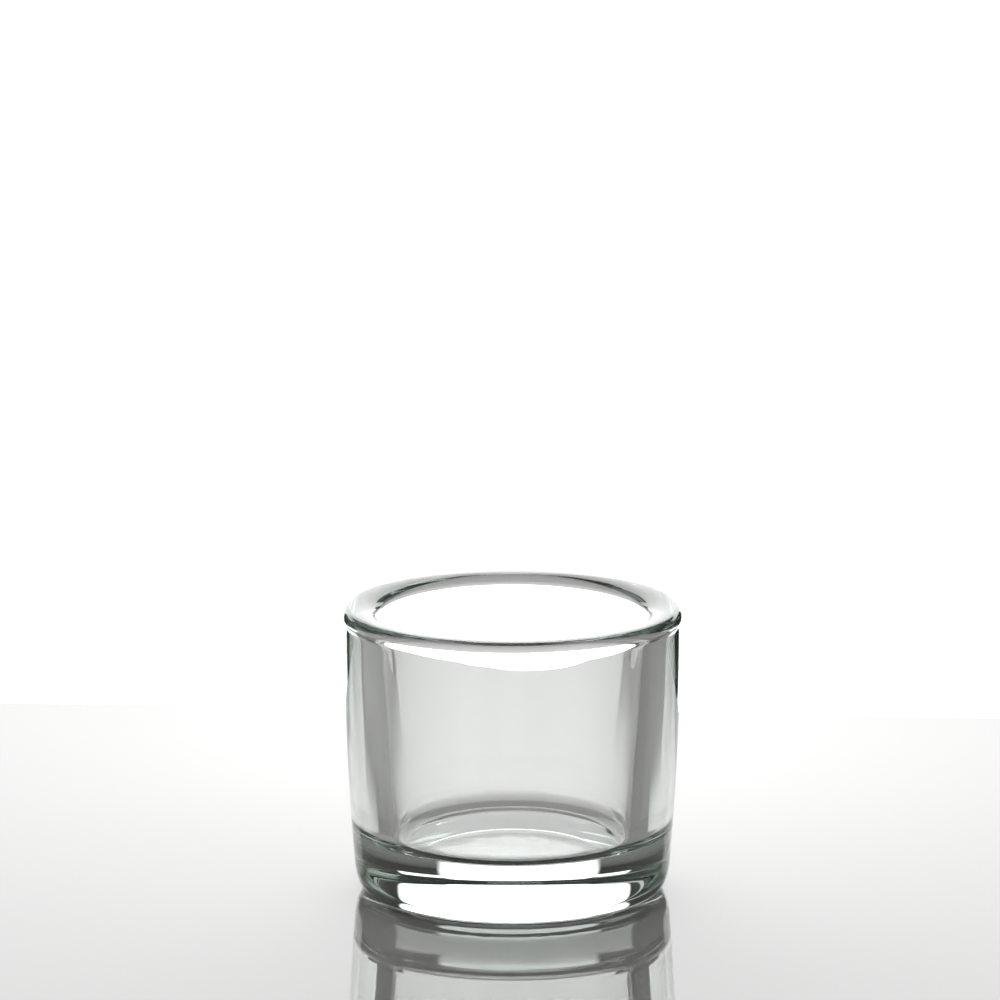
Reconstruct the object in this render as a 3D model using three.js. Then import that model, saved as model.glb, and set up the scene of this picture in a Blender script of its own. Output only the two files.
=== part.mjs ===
// A tealight holder: one thick-walled cup of clear pressed glass.
//
// Its outline turns once about a vertical axis. From the table upwards it has a foot ring round a
// hollow underside, a rounded foot, a slightly bowed body, and a rounded rim that stands a little
// proud of the body. The cup inside tapers down to a flat floor with a filleted corner, above a
// heavy base. Millimetres, +Z up. The origin is the centre of the circle that the holder stands on.

import * as THREE from 'three';

// Driving dimensions
const RIM_DIAMETER = 80;
const HEIGHT = 68.1;
const RIM_THICKNESS = 8.3;
const BASE_THICKNESS = 13; // from the table to the floor of the cup

// Rim
const CREST_RADIUS = 38; // highest circle
const WIDEST_HEIGHT = 65.8; // level of the widest circle
const LIP_HEIGHT = 65.1; // level at which the rim would stand upright inside the cup
const RIM_ROUNDNESS = 2.2; // exponent of the rim's curve: 2 is an ellipse, and more is squarer

// Outside
const BEAD_RADIUS = 1.5; // lower curve of the rim, under its widest circle
const BEAD_ANGLE = THREE.MathUtils.degToRad(28); // how far that curve turns before the neck
const NECK_RADIUS = 2; // hollow curve that leads from the rim into the body
const BODY_FOOT_RADIUS = 37.3; // body where the rounded foot begins
const BODY_BOW = 0.55; // outward bow of the body at half height
const FOOT_WIDTH = 4;
const FOOT_HEIGHT = 7.2;
const FOOT_LEVEL_ARM = 0.8; // how long the foot's curve stays level, as a share of its width
const FOOT_UPRIGHT_ARM = 0.3; // how long it stays along the body, as a share of its height

// Underside
const HOLLOW_RADIUS = 31;
const HOLLOW_DEPTH = 2.4;
const HOLLOW_FLATNESS = 3.4; // exponent of the hollow's curve: 2 is a dome, and more is flatter

// Inside
const CUP_FLOOR_RADIUS = 27.7; // where the cup's wall would meet its floor, without the fillet
const CUP_FILLET_RADIUS = 3.5;

// Facets
const TURN_SEGMENTS = 72;
const HOLLOW_STEPS = 8;
const FOOT_STEPS = 8;
const BODY_STEPS = 8;
const BEAD_STEPS = 3;
const RIM_STEPS = 6; // on each side of the highest circle
const FILLET_STEPS = 5;

// Values that follow from the dimensions
const RIM_RADIUS = RIM_DIAMETER / 2;
const MOUTH_RADIUS = RIM_RADIUS - RIM_THICKNESS;
const CUP_DEPTH = LIP_HEIGHT - BASE_THICKNESS;
const CUP_DRAFT = Math.atan((MOUTH_RADIUS - CUP_FLOOR_RADIUS) / CUP_DEPTH);

// A point at the given angle on a circle, 0 pointing away from the axis and a quarter turn pointing up.
function onCircle(centre, radius, angle) {
  return new THREE.Vector2(centre.x + radius * Math.cos(angle), centre.y + radius * Math.sin(angle));
}

// Points along an arc from one angle to another, both ends included.
function arc(centre, radius, from, to, steps) {
  const points = [];
  for (let i = 0; i <= steps; i += 1) {
    points.push(onCircle(centre, radius, from + ((to - from) * i) / steps));
  }
  return points;
}

// Points along the upper half of a superellipse, from one angle to another, both ends included.
function superArc(centre, width, height, from, to, steps) {
  const power = 2 / RIM_ROUNDNESS;
  const points = [];
  for (let i = 0; i <= steps; i += 1) {
    const angle = from + ((to - from) * i) / steps;
    const across = Math.sign(Math.cos(angle)) * Math.abs(Math.cos(angle)) ** power;
    const up = Math.sin(angle) ** power;
    points.push(new THREE.Vector2(centre.x + width * across, centre.y + height * up));
  }
  return points;
}

// Points along the arc through two ends that bows away from their chord, to its right on the way.
function bowedLine(start, end, bow, steps) {
  const chord = end.clone().sub(start);
  const side = new THREE.Vector2(chord.y, -chord.x).normalize();
  const points = [];
  for (let i = 0; i <= steps; i += 1) {
    const along = i / steps;
    const offset = 4 * bow * along * (1 - along);
    points.push(start.clone().addScaledVector(chord, along).addScaledVector(side, offset));
  }
  return points;
}

// The underside: from the axis, flat at first, down to the inner edge of the foot ring.
function hollow() {
  const points = [];
  for (let i = 0; i <= HOLLOW_STEPS; i += 1) {
    const share = Math.sqrt(i / HOLLOW_STEPS); // closer rings near the edge, where the curve is
    points.push(new THREE.Vector2(HOLLOW_RADIUS * share, HOLLOW_DEPTH * (1 - share ** HOLLOW_FLATNESS)));
  }
  return points;
}

// The direction in which the body leaves the rounded foot, pointing up.
function bodyDirection(start, end) {
  const chord = end.clone().sub(start);
  const lean = Math.atan2(chord.x, chord.y) + Math.atan((4 * BODY_BOW) / chord.length());
  return new THREE.Vector2(Math.sin(lean), Math.cos(lean));
}

// The rounded foot: level at the foot ring, and running into the body without a crease.
function foot(bodyStart, direction) {
  const ring = new THREE.Vector2(bodyStart.x - FOOT_WIDTH, 0);
  const curve = new THREE.CubicBezierCurve(
    ring,
    ring.clone().add(new THREE.Vector2(FOOT_LEVEL_ARM * FOOT_WIDTH, 0)),
    bodyStart.clone().addScaledVector(direction, -FOOT_UPRIGHT_ARM * FOOT_HEIGHT),
    bodyStart,
  );
  return curve.getPoints(FOOT_STEPS);
}

// The bead under the rim and the hollow neck below it, from the neck up to the widest circle.
function neckAndBead() {
  const beadCentre = new THREE.Vector2(RIM_RADIUS - BEAD_RADIUS, WIDEST_HEIGHT);
  const meeting = onCircle(beadCentre, BEAD_RADIUS, -BEAD_ANGLE);
  const neckCentre = onCircle(meeting, NECK_RADIUS, -BEAD_ANGLE);
  const neck = arc(neckCentre, NECK_RADIUS, Math.PI, Math.PI - BEAD_ANGLE, BEAD_STEPS);
  const bead = arc(beadCentre, BEAD_RADIUS, -BEAD_ANGLE, 0, BEAD_STEPS);
  return [...neck, ...bead.slice(1)];
}

// The angle on the rim's inner side at which its slope equals that of the cup's wall.
function lipAngle(width, height) {
  const slope = (height / width) * Math.tan(CUP_DRAFT);
  return Math.PI - Math.atan(slope ** (1 / (2 - 2 / RIM_ROUNDNESS)));
}

// The rim: from its widest circle up to its highest one, then down to where the cup's wall begins.
function rim() {
  const outerCentre = new THREE.Vector2(CREST_RADIUS, WIDEST_HEIGHT);
  const innerCentre = new THREE.Vector2(CREST_RADIUS, LIP_HEIGHT);
  const outerSize = [RIM_RADIUS - CREST_RADIUS, HEIGHT - WIDEST_HEIGHT];
  const innerSize = [CREST_RADIUS - MOUTH_RADIUS, HEIGHT - LIP_HEIGHT];
  const outer = superArc(outerCentre, ...outerSize, 0, Math.PI / 2, RIM_STEPS);
  const inner = superArc(innerCentre, ...innerSize, Math.PI / 2, lipAngle(...innerSize), RIM_STEPS);
  return [...outer, ...inner.slice(1)];
}

// The filleted corner at the bottom of the cup, from its wall round to its floor.
function cupFillet() {
  const inset = (CUP_FILLET_RADIUS * (1 - Math.sin(CUP_DRAFT))) / Math.cos(CUP_DRAFT);
  const centre = new THREE.Vector2(CUP_FLOOR_RADIUS - inset, BASE_THICKNESS + CUP_FILLET_RADIUS);
  return arc(centre, CUP_FILLET_RADIUS, -CUP_DRAFT, -Math.PI / 2, FILLET_STEPS);
}

// The whole outline, from the axis under the base, up the outside, and down the inside to the axis.
function outline() {
  const upper = neckAndBead();
  const bodyStart = new THREE.Vector2(BODY_FOOT_RADIUS, FOOT_HEIGHT);
  const bodyEnd = upper[0];
  const body = bowedLine(bodyStart, bodyEnd, BODY_BOW, BODY_STEPS);
  return [
    ...hollow(),
    ...foot(bodyStart, bodyDirection(bodyStart, bodyEnd)),
    ...body.slice(1),
    ...upper.slice(1),
    ...rim().slice(1),
    ...cupFillet(),
    new THREE.Vector2(0, BASE_THICKNESS),
  ];
}

function glassHolder() {
  const geometry = new THREE.LatheGeometry(outline(), TURN_SEGMENTS);
  geometry.rotateX(Math.PI / 2); // the lathe turns about Y, and the holder stands along Z
  const glass = new THREE.MeshStandardMaterial({ color: 0xdfe9e4, roughness: 0.02, metalness: 0 });
  const mesh = new THREE.Mesh(geometry, glass);
  mesh.name = 'glass_holder';
  return mesh;
}

const tealightHolder = new THREE.Group();
tealightHolder.add(glassHolder());

export default tealightHolder;
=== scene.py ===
"""A clear pressed-glass tealight holder on a glossy pale table, in front of a white backdrop."""

import math
import random

import bpy
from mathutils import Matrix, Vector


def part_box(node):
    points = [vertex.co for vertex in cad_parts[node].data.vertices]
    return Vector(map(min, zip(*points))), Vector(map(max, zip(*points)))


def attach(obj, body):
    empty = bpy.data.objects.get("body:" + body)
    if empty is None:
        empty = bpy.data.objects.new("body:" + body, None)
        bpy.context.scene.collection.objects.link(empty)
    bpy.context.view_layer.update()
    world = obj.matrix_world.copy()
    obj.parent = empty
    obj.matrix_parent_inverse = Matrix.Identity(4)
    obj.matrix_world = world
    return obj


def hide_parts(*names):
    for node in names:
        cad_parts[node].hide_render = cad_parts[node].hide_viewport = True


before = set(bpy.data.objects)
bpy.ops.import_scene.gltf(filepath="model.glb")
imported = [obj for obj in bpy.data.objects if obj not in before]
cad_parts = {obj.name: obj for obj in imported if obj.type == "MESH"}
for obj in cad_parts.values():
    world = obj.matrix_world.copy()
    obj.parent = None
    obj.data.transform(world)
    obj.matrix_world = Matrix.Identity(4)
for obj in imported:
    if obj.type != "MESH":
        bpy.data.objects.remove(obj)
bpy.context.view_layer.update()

MM = 0.001

# ---- The holder's outline. The rim's radius and the height come from the CAD frame. ----

LOW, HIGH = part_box("glass_holder")
RIM_RADIUS = (HIGH[0] - LOW[0]) / 2
HEIGHT = HIGH[2]
MOUTH_RADIUS = RIM_RADIUS - 8.3 * MM
CREST_RADIUS = 38 * MM
WIDEST_HEIGHT = 65.8 * MM
LIP_HEIGHT = 65.1 * MM
RIM_POWER = 2 / 2.2
BEAD_RADIUS = 1.5 * MM
BEAD_ANGLE = math.radians(28)
NECK_RADIUS = 2 * MM
BODY_FOOT_RADIUS = 37.3 * MM
BODY_BOW = 0.55 * MM
FOOT_WIDTH = 4 * MM
FOOT_HEIGHT = 7.2 * MM
FOOT_LEVEL_ARM = 0.8
FOOT_UPRIGHT_ARM = 0.3
HOLLOW_RADIUS = 31 * MM
HOLLOW_DEPTH = 2.4 * MM
HOLLOW_FLATNESS = 3.4
BASE_THICKNESS = 13 * MM
CUP_FLOOR_RADIUS = 27.7 * MM
CUP_FILLET = 3.5 * MM
CUP_DRAFT = math.atan((MOUTH_RADIUS - CUP_FLOOR_RADIUS) / (LIP_HEIGHT - BASE_THICKNESS))

TURN_STEPS = 288
COARSE = 0.9 * MM  # spacing of the outline's points on the long, nearly straight stretches
FINE = 0.3 * MM  # and on the tight curves


def on_circle(centre, radius, angle):
    return (centre[0] + radius * math.cos(angle), centre[1] + radius * math.sin(angle))


def arc(centre, radius, start, end, spacing=FINE):
    count = max(4, math.ceil(radius * abs(end - start) / spacing))
    return [on_circle(centre, radius, start + (end - start) * i / count) for i in range(count + 1)]


def super_arc(centre, size, start, end, count=24):
    """Points along the upper half of a superellipse."""
    points = []
    for i in range(count + 1):
        angle = start + (end - start) * i / count
        across = math.copysign(abs(math.cos(angle)) ** RIM_POWER, math.cos(angle))
        up = max(0.0, math.sin(angle)) ** RIM_POWER
        points.append((centre[0] + size[0] * across, centre[1] + size[1] * up))
    return points


def bowed_line(start, end, bow=0.0, spacing=COARSE):
    """Points from start to end that bow to the right of the way by the given amount."""
    dx, dz = end[0] - start[0], end[1] - start[1]
    length = math.hypot(dx, dz)
    count = math.ceil(length / spacing)
    points = []
    for i in range(count + 1):
        t = i / count
        out = 4 * bow * t * (1 - t) / length
        points.append((start[0] + dx * t + dz * out, start[1] + dz * t - dx * out))
    return points


def cubic(a, b, c, d, count=28):
    points = []
    for i in range(count + 1):
        t = i / count
        weights = ((1 - t) ** 3, 3 * t * (1 - t) ** 2, 3 * t * t * (1 - t), t**3)
        points.append(tuple(sum(w * p[k] for w, p in zip(weights, (a, b, c, d))) for k in (0, 1)))
    return points


def hollow(count=40):
    points = []
    for i in range(count + 1):
        share = i / count
        points.append((HOLLOW_RADIUS * share, HOLLOW_DEPTH * (1 - share**HOLLOW_FLATNESS)))
    return points


def foot(ring, body):
    """The rounded foot, from the ring it stands on to the start of the body."""
    lean = math.atan2(body[1][0] - body[0][0], body[1][1] - body[0][1])
    arm = FOOT_UPRIGHT_ARM * FOOT_HEIGHT
    level = (ring[0] + FOOT_LEVEL_ARM * FOOT_WIDTH, 0.0)
    upright = (body[0][0] - arm * math.sin(lean), body[0][1] - arm * math.cos(lean))
    return cubic(ring, level, upright, body[0])


def neck_and_bead():
    bead_centre = (RIM_RADIUS - BEAD_RADIUS, WIDEST_HEIGHT)
    meeting = on_circle(bead_centre, BEAD_RADIUS, -BEAD_ANGLE)
    neck_centre = on_circle(meeting, NECK_RADIUS, -BEAD_ANGLE)
    neck = arc(neck_centre, NECK_RADIUS, math.pi, math.pi - BEAD_ANGLE)
    return neck + arc(bead_centre, BEAD_RADIUS, -BEAD_ANGLE, 0)[1:]


def rim():
    outer = (RIM_RADIUS - CREST_RADIUS, HEIGHT - WIDEST_HEIGHT)
    inner = (CREST_RADIUS - MOUTH_RADIUS, HEIGHT - LIP_HEIGHT)
    slope = inner[1] / inner[0] * math.tan(CUP_DRAFT)
    end = math.pi - math.atan(slope ** (1 / (2 - RIM_POWER)))
    up = super_arc((CREST_RADIUS, WIDEST_HEIGHT), outer, 0, math.pi / 2)
    down = super_arc((CREST_RADIUS, LIP_HEIGHT), inner, math.pi / 2, end)
    return up + down[1:]


def cup_fillet():
    inset = CUP_FILLET * (1 - math.sin(CUP_DRAFT)) / math.cos(CUP_DRAFT)
    centre = (CUP_FLOOR_RADIUS - inset, BASE_THICKNESS + CUP_FILLET)
    return arc(centre, CUP_FILLET, -CUP_DRAFT, -math.pi / 2)


def outline():
    """The outline as named runs, from the axis under the base, up the outside and down the inside."""
    upper = neck_and_bead()
    body = bowed_line((BODY_FOOT_RADIUS, FOOT_HEIGHT), upper[0], BODY_BOW)
    ring = (BODY_FOOT_RADIUS - FOOT_WIDTH, 0.0)
    top = rim()
    fillet = cup_fillet()
    return [
        ("underside", hollow()),
        ("standing ring", bowed_line((HOLLOW_RADIUS, 0.0), ring)),
        ("foot", foot(ring, body)),
        ("body", body),
        ("neck", upper),
        ("rim", top),
        ("wall", bowed_line(top[-1], fillet[0])),
        ("fillet", fillet),
        ("floor", bowed_line(fillet[-1], (0.0, BASE_THICKNESS))),
    ]


# ---- The unevenness of pressed glass: how far each run of the surface sinks into the glass ----

OUTER_SEED = 3
INNER_SEED = 8
WAVE_TERMS = 7
WAVE_TURNS = (2, 3, 5, 7, 9, 12, 16)  # waves in one turn round the axis
CALM_RADIUS = 12 * MM  # the unevenness fades out from here to the axis, where the rings are short

# run: depth, and the wavelength along the outline
WAVES = {
    "underside": (0.030 * MM, 9 * MM),
    "foot": (0.010 * MM, 14 * MM),
    "body": (0.012 * MM, 26 * MM),
    "neck": (0.010 * MM, 26 * MM),
    "rim": (0.010 * MM, 30 * MM),
    "wall": (0.045 * MM, 18 * MM),
    "fillet": (0.030 * MM, 14 * MM),
    "floor": (0.025 * MM, 12 * MM),
}


def wave_set(seed):
    """Terms of a smooth random height field round the axis: turns, phase, drift and weight."""
    chance = random.Random(seed)
    terms = []
    for _ in range(WAVE_TERMS):
        turns = chance.choice(WAVE_TURNS)
        drift = chance.uniform(-1, 1)
        terms.append((turns, chance.uniform(0, 2 * math.pi), drift, 1 / math.sqrt(turns)))
    total = sum(term[3] for term in terms)
    return [(turns, phase, drift, weight / total) for turns, phase, drift, weight in terms]


def wave(terms, angle, along):
    """A value from 0 to 1 at an angle round the axis and a distance along, in wavelengths."""
    value = 0.0
    for turns, phase, drift, weight in terms:
        value += weight * math.cos(turns * angle + phase + 2 * math.pi * drift * along)
    return 0.5 + 0.5 * value


def uneven_rings(runs):
    """For each ring of the surface: its radius, height, direction into the glass and wave data."""
    outer = wave_set(OUTER_SEED)
    inner = wave_set(INNER_SEED)
    flat = [(name, point) for k, (name, run) in enumerate(runs) for point in run[1 if k else 0 :]]
    rings = []
    along = 0.0
    for i in range(1, len(flat) - 1):
        before, here, after = flat[i - 1][1], flat[i][1], flat[i + 1][1]
        along += math.hypot(here[0] - before[0], here[1] - before[1])
        dx, dz = after[0] - before[0], after[1] - before[1]
        length = math.hypot(dx, dz)
        depth, pitch = WAVES.get(flat[i][0], (0.0, MM))
        terms = inner if flat[i][0] in ("wall", "fillet", "floor") else outer
        near_axis = min(1.0, here[0] / CALM_RADIUS)
        rings.append((here, (-dz / length, dx / length), depth * near_axis, along / pitch, terms))
    return rings


def lathe(name, runs, steps):
    """A closed mesh that turns the outline about Z. Its first and last points are on the axis."""
    rings = uneven_rings(runs)
    verts = [(0.0, 0.0, runs[0][1][0][1])]
    for (radius, z), (in_r, in_z), depth, along, terms in rings:
        for i in range(steps):
            angle = 2 * math.pi * i / steps
            sink = depth * wave(terms, angle, along)
            r = radius + in_r * sink
            verts.append((r * math.cos(angle), r * math.sin(angle), z + in_z * sink))
    verts.append((0.0, 0.0, runs[-1][1][-1][1]))
    mesh = bpy.data.meshes.new(name)
    mesh.from_pydata(verts, [], lathe_faces(len(rings), steps))
    mesh.shade_smooth()
    piece = bpy.data.objects.new(name, mesh)
    bpy.context.scene.collection.objects.link(piece)
    return piece


def lathe_faces(rings, steps):
    faces = []
    top = 1 + rings * steps
    last = top - steps
    for i in range(steps):
        j = (i + 1) % steps
        faces.append((0, 1 + j, 1 + i))
        faces.append((top, last + i, last + j))
        for k in range(rings - 1):
            a, b = 1 + k * steps, 1 + (k + 1) * steps
            faces.append((a + i, a + j, b + j, b + i))
    return faces


# ---- Materials ----

GLASS_IOR = 1.52
GLASS_TINT = (0.4, 0.6, 0.467, 1)
GLASS_TINT_DENSITY = 6.0  # per metre
TABLE_COLOUR = (0.55, 0.54, 0.535, 1)
TABLE_ROUGHNESS = 0.004
TABLE_IOR = 1.5


def new_material(name):
    material = bpy.data.materials.new(name)
    material.use_nodes = True
    return material, material.node_tree.nodes["Principled BSDF"]


def clear_glass():
    """Clear glass that turns grey-green only where light goes a long way through it."""
    material, shader = new_material("clear_glass")
    shader.inputs["Base Color"].default_value = (1, 1, 1, 1)
    shader.inputs["Roughness"].default_value = 0.0
    shader.inputs["IOR"].default_value = GLASS_IOR
    shader.inputs["Transmission Weight"].default_value = 1.0
    tree = material.node_tree
    volume = tree.nodes.new("ShaderNodeVolumeAbsorption")
    volume.inputs["Color"].default_value = GLASS_TINT
    volume.inputs["Density"].default_value = GLASS_TINT_DENSITY
    tree.links.new(volume.outputs["Volume"], tree.nodes["Material Output"].inputs["Volume"])
    return material


def table_material():
    material, shader = new_material("table")
    shader.inputs["Base Color"].default_value = TABLE_COLOUR
    shader.inputs["Roughness"].default_value = TABLE_ROUGHNESS
    shader.inputs["IOR"].default_value = TABLE_IOR
    return material


# ---- Stage: a table, the backdrop behind it, and the studio's soft lights ----

BACKDROP = 2.6  # brightness of the white backdrop
STUDIO = 0.05  # brightness of the surroundings between the windows
TABLE_BACK = 0.175  # how far behind the holder's axis the table ends
TABLE_SLANT = 0.065  # how far the back edge comes forward over a metre to the right
TABLE_REACH = 3.0

LENS = 254.1
SENSOR = 36
CAMERA_PLACE = (-0.0029, -1.614, 0.4364)
CAMERA_TILT = math.radians(78)

# azimuth of the left and right edge, lowest and highest elevation, in degrees, and brightness.
# Azimuth 0 is +Y and 90 is +X. Only refracted, reflected and scattered light sees these windows: a
# view from the side has the white backdrop behind the glass, but not through it.
WINDOWS = [
    (-23, 19, -90, 38, BACKDROP),
    (-38, 36, 9, 18.5, BACKDROP),
    (-63, -27, 20, 45, 0.8),
    (-104, -76, -10, 10, 0.8),
    (121, 149, -5, 45, 0.8),
]
WINDOW_SOFTNESS = 1.5


def math_node(nodes, links, operation, a, b=None, c=None):
    node = nodes.new("ShaderNodeMath")
    node.operation = operation
    for socket, value in zip(node.inputs, (a, b, c)):
        if value is None:
            continue
        if isinstance(value, (int, float)):
            socket.default_value = value
        else:
            links.new(value, socket)
    return node.outputs[0]


def soft_step(nodes, links, value, edge):
    """0 below the edge, 1 above it and smooth across it. The edge is in degrees."""
    node = nodes.new("ShaderNodeMapRange")
    node.interpolation_type = "SMOOTHSTEP"
    links.new(value, node.inputs["Value"])
    node.inputs["From Min"].default_value = math.radians(edge - WINDOW_SOFTNESS)
    node.inputs["From Max"].default_value = math.radians(edge + WINDOW_SOFTNESS)
    return node.outputs["Result"]


def window(nodes, links, azimuth, elevation, left, right, low, high, brightness):
    """The given brightness inside a patch of the surroundings and 0 outside it, with soft edges."""
    middle = math.radians((left + right) / 2)
    off = math_node(nodes, links, "SUBTRACT", azimuth, middle)
    off = math_node(nodes, links, "WRAP", off, math.pi, -math.pi)
    off = math_node(nodes, links, "ABSOLUTE", off)
    outside = soft_step(nodes, links, off, (right - left) / 2)
    across = math_node(nodes, links, "SUBTRACT", 1.0, outside)
    above = soft_step(nodes, links, elevation, low)
    below = math_node(nodes, links, "SUBTRACT", 1.0, soft_step(nodes, links, elevation, high))
    patch = math_node(nodes, links, "MULTIPLY", across, above)
    patch = math_node(nodes, links, "MULTIPLY", patch, below)
    return math_node(nodes, links, "MULTIPLY", patch, brightness)


def studio_world():
    """The surroundings: windows of light in a dim studio. The camera itself sees only backdrop."""
    world = bpy.data.worlds.new("studio")
    bpy.context.scene.world = world
    world.use_nodes = True
    nodes, links = world.node_tree.nodes, world.node_tree.links
    background = nodes["Background"]
    split = nodes.new("ShaderNodeSeparateXYZ")
    links.new(nodes.new("ShaderNodeTexCoord").outputs["Generated"], split.inputs[0])
    azimuth = math_node(nodes, links, "ARCTAN2", split.outputs["X"], split.outputs["Y"])
    elevation = math_node(nodes, links, "ARCSINE", split.outputs["Z"])
    seen = nodes.new("ShaderNodeLightPath").outputs["Is Camera Ray"]
    light = math_node(nodes, links, "MULTIPLY", seen, BACKDROP)
    light = math_node(nodes, links, "MAXIMUM", light, STUDIO)
    for patch in WINDOWS:
        light = math_node(nodes, links, "MAXIMUM", light, window(nodes, links, azimuth, elevation, *patch))
    links.new(light, background.inputs["Strength"])
    background.inputs["Color"].default_value = (1, 1, 1, 1)


def table():
    """The table top. It ends close behind the holder, at an edge that isn't quite square to view."""
    mesh = bpy.data.meshes.new("table_top")
    left_back = TABLE_BACK + TABLE_SLANT * TABLE_REACH
    right_back = TABLE_BACK - TABLE_SLANT * TABLE_REACH
    corners = [
        (-TABLE_REACH, -TABLE_REACH, 0),
        (TABLE_REACH, -TABLE_REACH, 0),
        (TABLE_REACH, right_back, 0),
        (-TABLE_REACH, left_back, 0),
    ]
    mesh.from_pydata(corners, [], [(0, 1, 2, 3)])
    mesh.materials.append(table_material())
    top = bpy.data.objects.new("table_top", mesh)
    bpy.context.scene.collection.objects.link(top)


def softbox(name, size, energy, location):
    """A square light that shines straight down. The camera, the glass and the table don't show it."""
    data = bpy.data.lights.new(name, "AREA")
    data.shape = "SQUARE"
    data.size = size
    data.energy = energy
    lamp = bpy.data.objects.new(name, data)
    lamp.location = location
    lamp.visible_camera = False
    lamp.visible_glossy = False
    lamp.visible_transmission = False
    bpy.context.scene.collection.objects.link(lamp)


def camera():
    data = bpy.data.cameras.new("camera")
    data.sensor_width = SENSOR
    data.lens = LENS
    data.clip_start = 0.1
    data.clip_end = 20
    cam = bpy.data.objects.new("camera", data)
    cam.location = CAMERA_PLACE
    cam.rotation_euler = (CAMERA_TILT, 0, 0)
    bpy.context.scene.collection.objects.link(cam)
    bpy.context.scene.camera = cam


holder = lathe("pressed_glass", outline(), TURN_STEPS)
holder.data.materials.append(clear_glass())
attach(holder, "root")
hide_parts("glass_holder")

table()
studio_world()
softbox("back_light", 0.12, 0.165, (0, 0.14, 0.16))
softbox("overhead_light", 0.8, 2.0, (0, 0, 1.4))
camera()

settings = bpy.context.scene
settings.view_settings.view_transform = "Standard"
settings.cycles.max_bounces = 32
settings.cycles.glossy_bounces = 24
settings.cycles.transmission_bounces = 32
